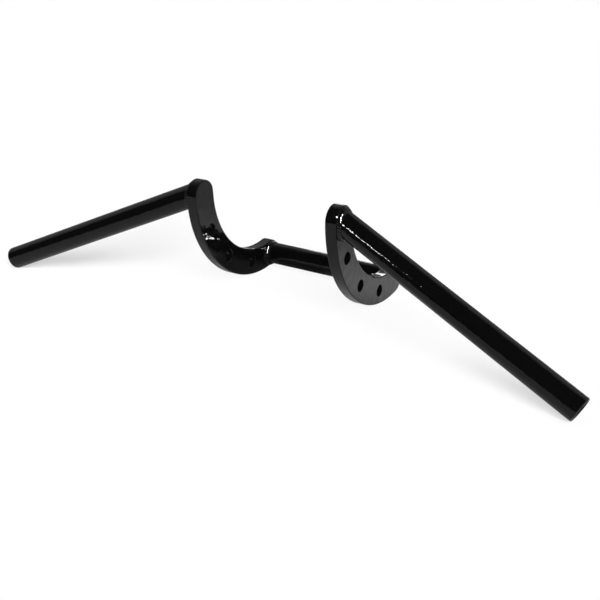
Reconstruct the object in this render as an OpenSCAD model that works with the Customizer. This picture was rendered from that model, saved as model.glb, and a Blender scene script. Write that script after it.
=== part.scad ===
// Z-bar handlebar for a motorcycle: a straight clamp tube, two thick crescent
// risers and two grip tubes, welded into one rigid bar.
// The origin is on the clamp tube's axis, midway between the risers. X points
// to the rider's right, Y forward and Z up, with the bar lying as it rests on
// the bellies of its risers and the ends of its grip tubes.

/* [Clamp tube] */
// Outside diameter of the clamp tube
clamp_od = 25.4; // [22:0.1:27]
// Wall thickness of the clamp tube
clamp_wall = 3; // [1.5:0.1:5]
// Clear distance between the two risers, which the clamp tube fills
riser_gap = 155; // [110:1:200]

/* [Grip tubes] */
// Outside diameter of a grip tube
grip_od = 25.4; // [22:0.1:27]
// Wall thickness of a grip tube
grip_wall = 3; // [1.5:0.1:5]
// Length of a grip tube's axis, from the riser's outer face to the open end
grip_len = 277; // [200:1:340]
// Angle by which the grips sweep back towards the rider
grip_sweep = 9.25; // [0:0.25:15]
// Angle by which the grips drop below the level of the clamp tube
grip_drop = 23.25; // [5:0.25:30]
// Chamfer on the outer and inner rim of the open end
rim_chamfer = 0.8; // [0.2:0.1:1.2]

/* [Risers] */
// Thickness of the riser plate
riser_t = 12.7; // [6:0.1:20]
// Radius of the arc that both tubes and all the holes sit on
riser_r = 109; // [90:1:140]
// Width of the crescent band
riser_w = 31; // [30:0.5:45]
// Angle of arc between the clamp tube and the grip tube
riser_span = 97; // [80:1:120]
// Angle of arc from the belly's lowest point forward to the clamp tube
clamp_lead = 9; // [0:0.5:20]
// Angle of arc that the riser runs on past the grip tube
grip_over = 1; // [0:0.25:5]
// Rounding of the riser's edges
riser_edge = 1.2; // [0.4:0.1:2]

/* [Lightening holes] */
// Diameter of a hole
hole_d = 12.7; // [6:0.1:18]
// Number of holes, spread about the middle of the arc
hole_count = 3; // [1:1:3]
// Angle of arc from one hole to the next
hole_pitch = 27; // [15:0.5:28]
// Chamfer on the mouths of the holes
hole_chamfer = 0.5; // [0.2:0.1:1]

/* [Welds] */
// Leg of a fillet bead along the riser's face, where the face has room
weld_foot = 4; // [2.5:0.1:5]
// Leg of a fillet bead along the tube
weld_rise = 5; // [3:0.1:7]
// How far the bead bulges, from 0 for a flat fillet to 1 for a quarter round
weld_crown = 0.55; // [0:0.05:1]
// Spacing of the ripples that the torch leaves
ripple_pitch = 3.2; // [2.5:0.1:5]
// Height of the ripples
ripple_h = 0.4; // [0.1:0.05:0.6]

/* [Hidden] */

$fn = 96;
coat = [0.055, 0.055, 0.06];

// The arc lies in the YZ plane. Its angles run from +Y towards +Z.
clamp_angle = clamp_lead - 90;
grip_angle = clamp_angle - riser_span;
end_angle = grip_angle - grip_over;
arc_centre = -riser_r * [cos(clamp_angle), sin(clamp_angle)];
function on_arc(angle) = arc_centre + riser_r * [cos(angle), sin(angle)];

outer_face = riser_gap / 2 + riser_t;
clamp_base = [riser_gap / 2, 0, 0];
grip_base = [outer_face, on_arc(grip_angle)[0], on_arc(grip_angle)[1]];
grip_dir = [cos(grip_drop) * cos(grip_sweep), -cos(grip_drop) * sin(grip_sweep), -sin(grip_drop)];

// Part of the face that is flat, on each side of the arc
flat_half = riser_w / 2 - riser_edge;

// Overlap by which a cutting body runs past what it cuts
past = 1;
// Step between the riser's band and its round ends, too small to feel
seam = 0.01;

// A tube along +Z from start to end, chamfered at its far rim
module tube(od, wall, start, end, chamfer) {
    rotate_extrude()
        polygon([
            [od / 2 - wall, start],
            [od / 2, start],
            [od / 2, end - chamfer],
            [od / 2 - chamfer, end],
            [od / 2 - wall + chamfer, end],
            [od / 2 - wall, end - chamfer]
        ]);
}

// Turns +Z onto the grip tube's axis on the right side
module along_grip() {
    translate(grip_base)
        rotate([0, 90 + grip_drop, -grip_sweep])
            children();
}

// Turns the plane of the arc, drawn in XY, into the YZ plane
module in_arc_plane() {
    rotate([90, 0, 90])
        children();
}

// Half of the riser's cross-section, with rounded corners: the distance out
// from the middle of the band, against the height above the inner face
edge_steps = 4;
function corner_arc(x, y, start) = [
    for (i = [0 : edge_steps])
        let (angle = start + 90 * i / edge_steps)
        [x + riser_edge * cos(angle), y + riser_edge * sin(angle)]
];
function half_section(half_w, low, high) = [
    each corner_arc(half_w - riser_edge, low + riser_edge, -90),
    each corner_arc(half_w - riser_edge, high - riser_edge, 0)
];

// The band that runs from one end of the arc to the other
module riser_band() {
    outer = half_section(riser_w / 2, 0, riser_t);
    inner = [for (i = [len(outer) - 1 : -1 : 0]) [-outer[i][0], outer[i][1]]];
    translate(arc_centre)
        rotate([0, 0, end_angle])
            rotate_extrude(angle = riser_span + grip_over)
                translate([riser_r, 0])
                    polygon([each outer, each inner]);
}

// Round end of the band, the same section turned about the end of the arc. It
// is a hair smaller, so that it meets the end of the band in a clean edge.
module riser_end(angle) {
    translate(on_arc(angle))
        rotate_extrude()
            polygon([
                [0, riser_t - seam],
                [0, seam],
                each half_section(riser_w / 2 - seam, seam, riser_t - seam)
            ]);
}

module riser_hole(angle) {
    mouth = hole_d / 2 + hole_chamfer + past;
    translate(on_arc(angle)) {
        translate([0, 0, -past])
            cylinder(d = hole_d, h = riser_t + 2 * past);
        translate([0, 0, riser_t - hole_chamfer])
            cylinder(r1 = hole_d / 2, r2 = mouth, h = hole_chamfer + past);
        translate([0, 0, -past])
            cylinder(r1 = mouth, r2 = hole_d / 2, h = hole_chamfer + past);
    }
}

// The crescent, drawn in XY with its inner face at zero
module riser() {
    difference() {
        union() {
            riser_band();
            riser_end(clamp_angle);
            riser_end(end_angle);
        }
        for (i = [0 : hole_count - 1])
            riser_hole(clamp_angle - riser_span / 2 + (i - (hole_count - 1) / 2) * hole_pitch);
    }
}

module right_side_riser() {
    translate([riser_gap / 2, 0, 0])
        in_arc_plane()
            riser();
}

// The grip tube starts inside the riser and is cut back to the riser's face
module right_side_grip() {
    lean = acos(grip_dir[0]);
    start = -tan(lean) * grip_od / 2 - past;
    difference() {
        along_grip()
            tube(grip_od, grip_wall, start, grip_len, rim_chamfer);
        translate([outer_face - 2 * grip_od, grip_base[1] - grip_od, grip_base[2] - grip_od])
            cube(2 * grip_od);
    }
}

// Distance from a point of the riser's face in to the edge of its flat part
function room(p) =
    let (v = p - arc_centre, angle = atan2(v[1], v[0]))
    let (past_clamp = angle > clamp_angle && angle < clamp_angle + 180)
    let (along = angle > 0 ? angle - 360 : angle)
    let (off = past_clamp ? norm(p)
        : along < end_angle ? norm(p - on_arc(end_angle))
        : abs(norm(v) - riser_r))
    flat_half - off;

// One ring of points round a bead's section. Seen along the joint, the bead
// climbs from its toe on the riser's face to its toe on the tube.
toe = 0.3;
bead_steps = 6;
function bead_section(base, dir, r, turn, ripples) =
    let (side = norm([dir[0], dir[2]]) > 0 ? [dir[2], 0, -dir[0]] / norm([dir[0], dir[2]]) : [0, 1, 0])
    let (up = cross(side, dir))
    let (out = cos(turn) * side + sin(turn) * up)
    let (corner = base + r * out - dir * (r * out[0] / dir[0]))
    let (flat = [0, out[1], out[2]] / norm([out[1], out[2]]))
    let (space = room([corner[1], corner[2]]))
    let (foot = min(weld_foot, space))
    [
        corner + weld_rise * dir - past * out,
        for (i = [0 : bead_steps])
            let (t = i / bead_steps)
            let (bow = 4 * t * (1 - t))
            let (wave = abs(sin(turn * ripples / 2 - 50 * bow)))
            let (a = (1 - weld_crown) * t + weld_crown * sin(90 * t))
            let (b = (1 - weld_crown) * (1 - t) + weld_crown * cos(90 * t))
            let (swell = ripple_h * (wave - 0.5) * (0.35 + 0.65 * bow))
            corner + (foot * a + swell * t) * flat + (weld_rise * b + swell * (1 - t)) * dir
                + toe * ((1 - t) * out + t * [1, 0, 0]),
        corner + foot * flat - [past, 0, 0],
        corner - past * flat - [past, 0, 0]
    ];

// A closed ring of those sections round the joint of a tube and a riser's face
module bead_ring(base, dir, r) {
    ripples = round(2 * PI * (r + weld_foot / 2) / ripple_pitch);
    turns = ripples * 4;
    n = bead_steps + 4;
    points = [for (k = [0 : turns - 1]) each bead_section(base, dir, r, 360 * k / turns, ripples)];
    faces = [
        for (k = [0 : turns - 1], i = [0 : n - 1])
            let (a = k * n + i, b = k * n + (i + 1) % n)
            let (c = ((k + 1) % turns) * n + (i + 1) % n, d = ((k + 1) % turns) * n + i)
            each [[a, b, c], [a, c, d]]
    ];
    polyhedron(points, faces);
}

module right_side_clamp_weld() {
    mirror([1, 0, 0])
        difference() {
            bead_ring(-clamp_base, [1, 0, 0], clamp_od / 2);
            rotate([0, 90, 0])
                cylinder(d = clamp_od, h = riser_gap + 2 * riser_t, center = true);
            translate([-riser_gap / 2 - riser_t, -clamp_od, -clamp_od])
                cube([riser_t, 2 * clamp_od, 2 * clamp_od]);
        }
}

module right_side_grip_weld() {
    difference() {
        bead_ring(grip_base, grip_dir, grip_od / 2);
        along_grip()
            translate([0, 0, -grip_od])
                cylinder(d = grip_od, h = 3 * grip_od);
        translate([outer_face - riser_t, grip_base[1] - grip_od, grip_base[2] - grip_od])
            cube([riser_t, 2 * grip_od, 2 * grip_od]);
    }
}

module clamp_tube() {
    color(coat)
        rotate([0, 90, 0])
            difference() {
                cylinder(d = clamp_od, h = riser_gap, center = true);
                cylinder(d = clamp_od - 2 * clamp_wall, h = riser_gap + 2 * past, center = true);
            }
}

module right_riser() {
    color(coat)
        right_side_riser();
}

module left_riser() {
    color(coat)
        mirror([1, 0, 0])
            right_side_riser();
}

module right_grip_tube() {
    color(coat)
        right_side_grip();
}

module left_grip_tube() {
    color(coat)
        mirror([1, 0, 0])
            right_side_grip();
}

module right_clamp_weld() {
    color(coat)
        right_side_clamp_weld();
}

module left_clamp_weld() {
    color(coat)
        mirror([1, 0, 0])
            right_side_clamp_weld();
}

module right_grip_weld() {
    color(coat)
        right_side_grip_weld();
}

module left_grip_weld() {
    color(coat)
        mirror([1, 0, 0])
            right_side_grip_weld();
}

clamp_tube();
left_riser();
right_riser();
left_grip_tube();
right_grip_tube();
left_clamp_weld();
right_clamp_weld();
left_grip_weld();
right_grip_weld();
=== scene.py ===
import math
import random

import bmesh
import bpy
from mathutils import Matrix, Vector


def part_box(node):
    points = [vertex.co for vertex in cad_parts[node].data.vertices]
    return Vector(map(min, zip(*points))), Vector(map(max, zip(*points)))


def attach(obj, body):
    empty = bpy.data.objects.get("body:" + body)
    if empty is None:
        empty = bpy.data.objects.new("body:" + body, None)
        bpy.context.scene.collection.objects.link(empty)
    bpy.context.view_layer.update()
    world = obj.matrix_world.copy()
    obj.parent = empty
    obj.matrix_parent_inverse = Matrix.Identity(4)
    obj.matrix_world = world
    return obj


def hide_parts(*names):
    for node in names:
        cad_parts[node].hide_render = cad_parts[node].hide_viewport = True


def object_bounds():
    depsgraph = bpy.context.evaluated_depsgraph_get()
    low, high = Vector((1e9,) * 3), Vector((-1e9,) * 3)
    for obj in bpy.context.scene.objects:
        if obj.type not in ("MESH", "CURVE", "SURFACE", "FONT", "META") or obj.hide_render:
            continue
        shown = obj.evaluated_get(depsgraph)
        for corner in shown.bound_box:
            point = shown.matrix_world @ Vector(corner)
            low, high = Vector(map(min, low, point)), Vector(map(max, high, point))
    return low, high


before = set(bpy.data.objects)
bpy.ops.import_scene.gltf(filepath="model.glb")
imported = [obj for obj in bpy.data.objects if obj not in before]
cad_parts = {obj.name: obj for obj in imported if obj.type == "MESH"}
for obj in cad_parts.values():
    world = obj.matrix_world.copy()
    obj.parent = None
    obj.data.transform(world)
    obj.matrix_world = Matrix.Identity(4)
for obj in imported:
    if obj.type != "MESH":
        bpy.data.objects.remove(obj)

cad_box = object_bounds()
scene = bpy.context.scene


# Clamp tube
# The straight middle tube, 1 inch drawn steel, which the fork's bar clamps
# hold. It is cut square and butts against the inner faces of both risers.

TUBE_R = 0.0127
CLAMP_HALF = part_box("clamp_tube")[1].x

SPECK_SIZE, SPECK_LEAST, SPECK_CONTRAST = 0.0007, 0.66, 9.0
CLOUD_SIZE, CLOUD_LEAST, CLOUD_CONTRAST = 0.03, 0.42, 2.5
BLOTCH_SIZE, BLOTCH_DEPTH = 0.02, 0.05
DUST_DULLS = 0.4
COAT_IOR = 1.5
BUMP_UNIT = 0.001


def maths(tree, operation, a, b, clamp=False):
    """What a Math node makes of two values, each a number or a node's output."""
    node = tree.nodes.new("ShaderNodeMath")
    node.operation = operation
    node.use_clamp = clamp
    for socket, value in ((node.inputs[0], a), (node.inputs[1], b)):
        if isinstance(value, (int, float)):
            socket.default_value = value
        else:
            tree.links.new(value, socket)
    return node.outputs[0]


def gloss_coat_surface():
    """The surface of a thick gloss coat: its peel, slow waves and settled dust."""
    group = bpy.data.node_groups.new("gloss_coat_surface", "ShaderNodeTree")
    for name, kind, value in (
        ("Peel Size", "NodeSocketFloat", 0.0016),
        ("Peel Height", "NodeSocketFloat", 0.010),
        ("Wave Size", "NodeSocketFloat", 0.014),
        ("Wave Height", "NodeSocketFloat", 0.02),
        ("Roughness", "NodeSocketFloat", 0.1),
        ("Coat Color", "NodeSocketColor", (0.0025, 0.0025, 0.0027, 1)),
        ("Dust Color", "NodeSocketColor", (0.05, 0.05, 0.05, 1)),
        ("Dust", "NodeSocketFloat", 0.2),
    ):
        socket = group.interface.new_socket(name, in_out="INPUT", socket_type=kind)
        socket.default_value = value
    group.interface.new_socket("Color", in_out="OUTPUT", socket_type="NodeSocketColor")
    group.interface.new_socket("Roughness", in_out="OUTPUT", socket_type="NodeSocketFloat")
    group.interface.new_socket("Height", in_out="OUTPUT", socket_type="NodeSocketFloat")
    add, link = group.nodes.new, group.links.new
    given = add("NodeGroupInput").outputs
    result = add("NodeGroupOutput").inputs
    place = add("ShaderNodeTexCoord").outputs["Object"]

    def noise(size, detail, rough):
        node = add("ShaderNodeTexNoise")
        node.inputs["Detail"].default_value = detail
        node.inputs["Roughness"].default_value = rough
        link(place, node.inputs["Vector"])
        if isinstance(size, float):
            node.inputs["Scale"].default_value = 1 / size
        else:
            link(maths(group, "DIVIDE", 1.0, size), node.inputs["Scale"])
        return node.outputs["Fac"]

    peel = maths(group, "MULTIPLY", noise(given["Peel Size"], 1.0, 0.4), given["Peel Height"])
    wave = maths(group, "MULTIPLY", noise(given["Wave Size"], 0.0, 0.5), given["Wave Height"])
    link(maths(group, "ADD", peel, wave), result["Height"])

    specks = maths(group, "SUBTRACT", noise(SPECK_SIZE, 3.0, 0.6), SPECK_LEAST)
    specks = maths(group, "MULTIPLY", specks, SPECK_CONTRAST, clamp=True)
    cloud = maths(group, "SUBTRACT", noise(CLOUD_SIZE, 3.0, 0.5), CLOUD_LEAST)
    cloud = maths(group, "MULTIPLY", cloud, CLOUD_CONTRAST, clamp=True)
    dust = maths(group, "MULTIPLY", maths(group, "MULTIPLY", specks, cloud), given["Dust"])
    tint = add("ShaderNodeMix")
    tint.data_type = "RGBA"
    link(dust, tint.inputs["Factor"])
    link(given["Coat Color"], tint.inputs["A"])
    link(given["Dust Color"], tint.inputs["B"])
    link(tint.outputs["Result"], result["Color"])

    blotch = maths(group, "SUBTRACT", noise(BLOTCH_SIZE, 3.0, 0.55), 0.5)
    blotch = maths(group, "MULTIPLY", blotch, BLOTCH_DEPTH)
    rough = maths(group, "ADD", given["Roughness"], blotch)
    dulled = maths(group, "MULTIPLY", dust, DUST_DULLS)
    link(maths(group, "ADD", rough, dulled, clamp=True), result["Roughness"])
    return group


coat_surface = gloss_coat_surface()


def coated_metal(name, color, ior_level, **surface):
    """A gloss black coat on steel, with its own values for the shared surface."""
    m = bpy.data.materials.new(name)
    m.use_nodes = True
    nodes, link = m.node_tree.nodes, m.node_tree.links.new
    shader = nodes["Principled BSDF"]
    shader.inputs["IOR"].default_value = COAT_IOR
    shader.inputs["Specular IOR Level"].default_value = ior_level
    coat = nodes.new("ShaderNodeGroup")
    coat.node_tree = coat_surface
    coat.inputs["Coat Color"].default_value = (*color, 1)
    for socket, value in surface.items():
        coat.inputs[socket.replace("_", " ")].default_value = value
    bump = nodes.new("ShaderNodeBump")
    bump.inputs["Distance"].default_value = BUMP_UNIT
    link(coat.outputs["Color"], shader.inputs["Base Color"])
    link(coat.outputs["Roughness"], shader.inputs["Roughness"])
    link(coat.outputs["Height"], bump.inputs["Height"])
    link(bump.outputs["Normal"], shader.inputs["Normal"])
    return m


coated_tube = coated_metal(
    "coated_tube", (0.0016, 0.0016, 0.0018), 0.42,
    Peel_Size=0.0028, Peel_Height=0.13, Wave_Size=0.009, Wave_Height=0.32,
    Roughness=0.06, Dust=0.25)

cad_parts["clamp_tube"].data.materials[0] = coated_tube


# Risers
# Two crescents cut from half inch steel plate, each with three drilled
# holes. Their sawn edges are ground round before the coat goes on.

RISER_T = 0.0127
RISER_R = 0.109
FLAT_HALF = 0.0143
# Angles along the arc in degrees, turned from forward to up
CLAMP_ANGLE, GRIP_ANGLE, END_ANGLE = -81.0, -178.0, -179.0


def spoke(angle):
    """From the centre of a riser's arc to the middle of its band."""
    turn = math.radians(angle)
    return RISER_R * Vector((0, math.cos(turn), math.sin(turn)))


ARC_CENTRE = -spoke(CLAMP_ANGLE)

coated_plate = coated_metal(
    "coated_plate", (0.0018, 0.0018, 0.0020), 0.42,
    Peel_Size=0.0028, Peel_Height=0.010, Wave_Size=0.009, Wave_Height=0.24,
    Roughness=0.04, Dust=0.3)

for side in ("left", "right"):
    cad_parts[side + "_riser"].data.materials[0] = coated_plate


# Grip tubes
# Two more lengths of the same tube, coped to the risers' outer faces and
# swept back and down. Their outer ends are open, cut square and eased.

GRIP_SWEEP = math.radians(9.25)
GRIP_DROP = math.radians(23.25)
GRIP_BASE = Vector((CLAMP_HALF + RISER_T, 0, 0)) + ARC_CENTRE + spoke(GRIP_ANGLE)
GRIP_DIR = Vector((
    math.cos(GRIP_DROP) * math.cos(GRIP_SWEEP),
    -math.cos(GRIP_DROP) * math.sin(GRIP_SWEEP),
    -math.sin(GRIP_DROP)))

for side in ("left", "right"):
    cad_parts[side + "_grip_tube"].data.materials[0] = coated_tube


# Weld beads
# A torch-laid fillet runs right round each end of the clamp tube and round
# the foot of each grip tube, as a row of overlapping ripples under the coat.

# Width on the plate and on the tube, and the bulge between them
BEAD_FOOT, BEAD_RISE, BEAD_CROWN = 0.004, 0.005, 0.55
# Lift of the bead's rims, and how far its hidden back lies in the metal and under the tube
BEAD_LIFT, BEAD_SUNK, BEAD_ROOT = 0.0003, 0.0006, 0.0008
# Spacing and height of the ripples, and how far the middle of one lags behind its rims
RIPPLE_PITCH, RIPPLE_H, RIPPLE_LAG = 0.0032, 0.0004, 0.28
RIPPLE_POWER, RIPPLE_MEAN, RIM_SWELL = 0.8, 0.55, 0.35
UNEVEN_START, UNEVEN_WIDTH, UNEVEN_SWELL = 0.16, 0.10, (0.75, 1.3)
STEPS_PER_RIPPLE, STEPS_ACROSS = 14, 16
OUT_OF_PLATE = Vector((1, 0, 0))

coated_weld = coated_metal(
    "coated_weld", (0.0016, 0.0016, 0.0018), 0.5,
    Peel_Size=0.0013, Peel_Height=0.012, Wave_Size=0.004, Wave_Height=0.06,
    Roughness=0.05, Dust=0.15)


def room_on_riser(y, z):
    """How far a point of the riser's face lies in from the edge of its flat."""
    point = Vector((0, y, z))
    from_centre = point - ARC_CENTRE
    angle = math.degrees(math.atan2(from_centre.z, from_centre.y))
    if CLAMP_ANGLE < angle < CLAMP_ANGLE + 180:
        return FLAT_HALF - point.length
    if (angle - 360 if angle > 0 else angle) < END_ANGLE:
        return FLAT_HALF - (from_centre - spoke(END_ANGLE)).length
    return FLAT_HALF - abs(from_centre.length - RISER_R)


def piece_from_rings(name, rings, material):
    """A closed ring-shaped piece whose skin runs from each ring of points to the next."""
    bm = bmesh.new()
    loops = [[bm.verts.new(point) for point in ring] for ring in rings]
    for k, loop in enumerate(loops):
        after = loops[(k + 1) % len(loops)]
        for i in range(len(loop)):
            j = (i + 1) % len(loop)
            bm.faces.new((loop[i], loop[j], after[j], after[i]))
    bmesh.ops.recalc_face_normals(bm, faces=bm.faces)
    me = bpy.data.meshes.new(name)
    bm.to_mesh(me)
    bm.free()
    me.polygons.foreach_set("use_smooth", [True] * len(me.polygons))
    me.materials.append(material)
    piece = bpy.data.objects.new(name, me)
    scene.collection.objects.link(piece)
    return piece


def weld_bead(name, base, axis, seed, mirrored):
    """One fillet bead round a tube of TUBE_R that leaves a plate's face at base."""
    rng = random.Random(seed)
    ripples = round(2 * math.pi * (TUBE_R + BEAD_FOOT / 2) / RIPPLE_PITCH)
    start = [rng.uniform(-UNEVEN_START, UNEVEN_START) for _ in range(ripples)]
    width = [rng.uniform(-UNEVEN_WIDTH, UNEVEN_WIDTH) for _ in range(ripples)]
    swell_of = [rng.uniform(*UNEVEN_SWELL) for _ in range(ripples)]
    across = Vector((axis.z, 0, -axis.x)).normalized()
    up = across.cross(axis)
    rings = []
    for k in range(ripples * STEPS_PER_RIPPLE):
        place = k / STEPS_PER_RIPPLE
        i = int(place)
        turn = 2 * math.pi * place / ripples
        out = math.cos(turn) * across + math.sin(turn) * up
        corner = base + TUBE_R * out - axis * (TUBE_R * out.x / axis.x)
        flat = Vector((0, out.y, out.z)).normalized()
        blend = 0.5 - 0.5 * math.cos(math.pi * (place - i))
        grow = 1 + (1 - blend) * width[i] + blend * width[(i + 1) % ripples]
        foot = min(BEAD_FOOT * grow, room_on_riser(corner.y, corner.z))
        rise = BEAD_RISE * (2 - grow)
        ring = [corner + rise * axis - BEAD_SUNK * out]
        for j in range(STEPS_ACROSS + 1):
            t = j / STEPS_ACROSS
            bow = 4 * t * (1 - t)
            phase = place - RIPPLE_LAG * bow
            n = math.floor(phase)
            into = phase - n + start[n % ripples] * math.sin(math.pi * (phase - n))
            crest = abs(math.sin(math.pi * min(max(into, 0), 1))) ** RIPPLE_POWER
            swell = RIPPLE_H * swell_of[n % ripples] * (crest - RIPPLE_MEAN)
            swell *= RIM_SWELL + (1 - RIM_SWELL) * bow
            on_plate = foot * ((1 - BEAD_CROWN) * t + BEAD_CROWN * math.sin(math.pi / 2 * t))
            on_tube = rise * ((1 - BEAD_CROWN) * (1 - t) + BEAD_CROWN * math.cos(math.pi / 2 * t))
            lift = BEAD_LIFT * ((1 - t) * out + t * OUT_OF_PLATE)
            ring.append(corner + (on_plate + swell * t) * flat
                        + (on_tube + swell * (1 - t)) * axis + lift)
        ring.append(corner + foot * flat - BEAD_SUNK * OUT_OF_PLATE)
        ring.append(corner - BEAD_ROOT * flat - BEAD_SUNK * OUT_OF_PLATE)
        if mirrored:
            ring = [Vector((-point.x, point.y, point.z)) for point in ring]
        rings.append(ring)
    return piece_from_rings(name, rings, coated_weld)


CLAMP_BASE = Vector((-CLAMP_HALF, 0, 0))

for side, grip_seed, clamp_seed in (("left", 11, 16), ("right", 23, 28)):
    on_left = side == "left"
    grip_bead = weld_bead(side + "_grip_bead", GRIP_BASE, GRIP_DIR, grip_seed, on_left)
    clamp_bead = weld_bead(side + "_clamp_bead", CLAMP_BASE, OUT_OF_PLATE, clamp_seed, not on_left)
    for bead, node in ((grip_bead, side + "_grip_weld"), (clamp_bead, side + "_clamp_weld")):
        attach(bead, "root")
        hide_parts(node)


# Paper
# The bar lies on a sheet of white paper. The camera sees it white, and its
# glow to the camera is painted light that lifts the shadows in the middle, so
# they show mostly near the ends of the grips. The gloss coat mirrors it as grey,
# with a painted pool of light, a painted shadow under the clamp tube and
# nothing past its front edge.

FLOOR_Z = cad_box[0].z - 0.00001
FLOOR_HALF = 9.0
PAPER_WHITE = 0.93
FRONT_EDGE = (-0.72, -0.62)
# A painted pool of light and a painted shadow under the clamp tube, which only the gloss coat's
# mirror sees
POOL_AT = (0.13, -0.01, FLOOR_Z)
POOL_LIGHT = ((0.0, 0.85), (0.17, 0.38), (0.35, 0.40), (0.6, 0.38), (0.9, 0.1))
SHADE_AT = (-0.04, -0.018, FLOOR_Z)
SHADE_EDGE = (0.025, 0.065)
SHADE_LIGHT = 0.25
GLOW_REACH = 0.35
# How much of the shadow the painted glow lifts, from the left end of that reach to the right
GLOW_SHARE = (
    (0.03, 0.48), (0.09, 0.36), (0.16, 0.62), (0.23, 0.91),
    (0.77, 0.91), (0.84, 0.74), (0.92, 0.60))


def ranged(tree, value, low, high, low_result=0.0, high_result=1.0, smooth=False):
    """A value followed from one level to another, straight or with eased ends."""
    node = tree.nodes.new("ShaderNodeMapRange")
    if smooth:
        node.interpolation_type = "SMOOTHSTEP"
    node.inputs["From Min"].default_value = low
    node.inputs["From Max"].default_value = high
    node.inputs["To Min"].default_value = low_result
    node.inputs["To Max"].default_value = high_result
    tree.links.new(value, node.inputs["Value"])
    return node.outputs["Result"]


def grey_ramp(tree, value, stops):
    """A grey that follows a value through stops of level and brightness."""
    node = tree.nodes.new("ShaderNodeValToRGB")
    ramp = node.color_ramp.elements
    for element, (level, grey) in ((ramp[0], stops[0]), (ramp[1], stops[-1])):
        element.position = level
        element.color = (grey, grey, grey, 1)
    for level, grey in stops[1:-1]:
        ramp.new(level).color = (grey, grey, grey, 1)
    tree.links.new(value, node.inputs["Fac"])
    return node.outputs["Color"]


def vector_maths(tree, operation, vector, fixed=(0, 0, 0)):
    """What a Vector Math node makes of a vector and a fixed one."""
    node = tree.nodes.new("ShaderNodeVectorMath")
    node.operation = operation
    node.inputs[1].default_value = fixed
    tree.links.new(vector, node.inputs[0])
    return node.outputs["Value" if operation in ("DISTANCE", "DOT_PRODUCT") else "Vector"]


def white_paper():
    """Paper that the gloss coat mirrors as grey with a painted pool of light and painted shadow,
    and whose glow to the camera is painted light that lifts its shadows.
    """
    m = bpy.data.materials.new("white_paper")
    m.use_nodes = True
    tree = m.node_tree
    tree.nodes.clear()
    add, link = tree.nodes.new, tree.links.new
    spot = add("ShaderNodeNewGeometry").outputs["Position"]
    path = add("ShaderNodeLightPath").outputs
    xyz = add("ShaderNodeSeparateXYZ")
    link(spot, xyz.inputs[0])

    # Painted pool of light and painted shadow under the clamp tube, for glossy rays only
    from_pool = vector_maths(tree, "DISTANCE", spot, POOL_AT)
    pool = grey_ramp(tree, from_pool, POOL_LIGHT)
    from_shade = vector_maths(tree, "DISTANCE", spot, SHADE_AT)
    shade = ranged(tree, from_shade, *SHADE_EDGE, SHADE_LIGHT, smooth=True)
    painted_pool_and_shadow = add("ShaderNodeMix")
    painted_pool_and_shadow.inputs["A"].default_value = PAPER_WHITE
    link(path["Is Glossy Ray"], painted_pool_and_shadow.inputs["Factor"])
    link(maths(tree, "MULTIPLY", pool, shade), painted_pool_and_shadow.inputs["B"])
    sheet = ranged(tree, xyz.outputs["Y"], *FRONT_EDGE)
    paved = maths(tree, "MAXIMUM", sheet, path["Is Camera Ray"])
    white = maths(tree, "MULTIPLY", painted_pool_and_shadow.outputs["Result"], paved)
    color = add("ShaderNodeCombineColor")
    for channel in ("Red", "Green", "Blue"):
        link(white, color.inputs[channel])
    paper = add("ShaderNodeBsdfDiffuse")
    link(color.outputs["Color"], paper.inputs["Color"])

    # Painted light: the paper glows to the camera, most in the middle, which lifts the shadows
    # there
    along = ranged(tree, xyz.outputs["X"], -GLOW_REACH, GLOW_REACH)
    share = grey_ramp(tree, along, GLOW_SHARE)
    glow = add("ShaderNodeEmission")
    mix = add("ShaderNodeMixShader")
    link(maths(tree, "MULTIPLY", path["Is Camera Ray"], share), mix.inputs[0])
    link(paper.outputs[0], mix.inputs[1])
    link(glow.outputs[0], mix.inputs[2])
    out = add("ShaderNodeOutputMaterial")
    link(mix.outputs[0], out.inputs["Surface"])
    return m


sheet_mesh = bpy.data.meshes.new("floor")
sheet_mesh.from_pydata(
    [(x * FLOOR_HALF, y * FLOOR_HALF, FLOOR_Z) for x, y in ((-1, -1), (1, -1), (1, 1), (-1, 1))],
    [], [(0, 1, 2, 3)])
sheet_mesh.materials.append(white_paper())
floor = bpy.data.objects.new("floor", sheet_mesh)
scene.collection.objects.link(floor)


# Lamps
# A wide lamp and a small bright one hang to the right of the camera and above
# it. A narrow strip hangs to its left, and a low window is behind the bar.

LAMPS_AT = (1.18, -1.14, 1.0)


def aimed(name, light, place, target):
    """A lamp with its light at a place, turned toward a target."""
    lamp = bpy.data.objects.new(name, light)
    lamp.location = place
    lamp.rotation_euler = (Vector(target) - Vector(place)).to_track_quat("-Z", "Y").to_euler()
    scene.collection.objects.link(lamp)
    return lamp


softbox = bpy.data.lights.new("softbox", "SUN")
softbox.energy = 5.4
softbox.angle = math.radians(35)
aimed("softbox", softbox, LAMPS_AT, (0, 0, 0)).visible_glossy = False

bulb = bpy.data.lights.new("bulb", "SUN")
bulb.energy = 17.0
bulb.angle = math.radians(5.5)
aimed("bulb", bulb, LAMPS_AT, (0, 0, 0)).visible_diffuse = False

for name, place, target, size, power in (
    ("strip", (-0.40, -1.31, 0.67), (0.12, -0.13, 0.09), (0.12, 0.025), 1.5),
    ("window", (-0.72, 1.77, 0.36), (0.08, -0.03, 0.02), (0.5, 0.35), 2.0),
):
    panel = bpy.data.lights.new(name, "AREA")
    panel.shape = "RECTANGLE"
    panel.size, panel.size_y = size
    panel.energy = power
    aimed(name, panel, place, target).visible_camera = False


# Room
# The camera sees the room as plain white. The gloss coat mirrors it as dark,
# with a pale wall behind the bar and a dimmer one to the bar's right, both
# brightest some 40 degrees up.

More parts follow.
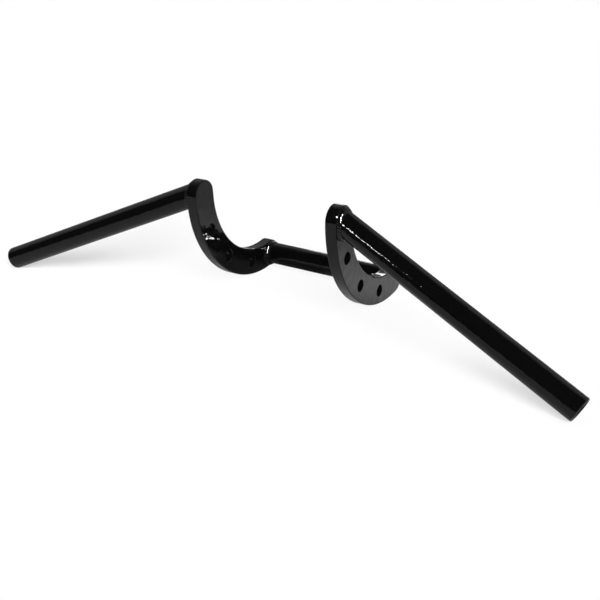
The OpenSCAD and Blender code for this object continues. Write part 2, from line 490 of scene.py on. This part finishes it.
WALL_BY_HEIGHT = ((0.50, 0.5), (0.67, 0.72), (0.83, 1.0), (0.87, 0.8), (0.90, 0.42), (0.94, 0.0))
WALL_WAY, WALL_EDGE = (-0.574, 0.819, 0), (0.25, 0.43)
ROOM_DARK, ROOM_PALE = 0.02, 0.38
FAR_WAY, FAR_EDGE, FAR_PALE = (0.9, 0.44, 0), (0.3, 0.9), 0.5
FILL_LIGHT = 0.15

world = bpy.data.worlds.new("room")
scene.world = world
world.use_nodes = True
tree = world.node_tree
way = tree.nodes.new("ShaderNodeTexCoord").outputs["Generated"]
path = tree.nodes.new("ShaderNodeLightPath").outputs
xyz = tree.nodes.new("ShaderNodeSeparateXYZ")
tree.links.new(way, xyz.inputs[0])

rise = grey_ramp(tree, ranged(tree, xyz.outputs["Z"], -1.0, 1.0), WALL_BY_HEIGHT)
level_way = vector_maths(tree, "MULTIPLY", way, (1, 1, 0))
compass = vector_maths(tree, "NORMALIZE", level_way)
toward = vector_maths(tree, "DOT_PRODUCT", compass, WALL_WAY)
wall = maths(tree, "MULTIPLY", rise, ranged(tree, toward, *WALL_EDGE, smooth=True))
room = ranged(tree, wall, 0.0, 1.0, ROOM_DARK, ROOM_PALE)
across = vector_maths(tree, "DOT_PRODUCT", way, FAR_WAY)
far_side = ranged(tree, across, *FAR_EDGE, 0.0, FAR_PALE, smooth=True)
far_wall = maths(tree, "MULTIPLY", far_side, rise)
mirrored = maths(tree, "MULTIPLY", far_wall, path["Is Glossy Ray"])
walls = maths(tree, "MAXIMUM", room, mirrored)
fill = maths(tree, "MULTIPLY", path["Is Diffuse Ray"], FILL_LIGHT)
lit = maths(tree, "MAXIMUM", walls, fill)
level = maths(tree, "MAXIMUM", lit, path["Is Camera Ray"])
backdrop = tree.nodes["Background"]
backdrop.inputs["Color"].default_value = (1, 1, 1, 1)
tree.links.new(level, backdrop.inputs["Strength"])


# Camera
# It stands where the rider would, but to the right of the bar, and looks
# down across the right grip tube.

CAMERA_AT = (0.46026, -0.81316, 0.36823)
LOOK_WAY = Vector((-0.47645, 0.78002, -0.40567))

camera = bpy.data.cameras.new("camera")
camera.lens = 50.941
camera.sensor_width = 36
camera.sensor_fit = "HORIZONTAL"
eye = bpy.data.objects.new("camera", camera)
eye.location = CAMERA_AT
eye.rotation_euler = LOOK_WAY.to_track_quat("-Z", "Y").to_euler()
scene.collection.objects.link(eye)
scene.camera = eye

scene.view_settings.view_transform = "Standard"
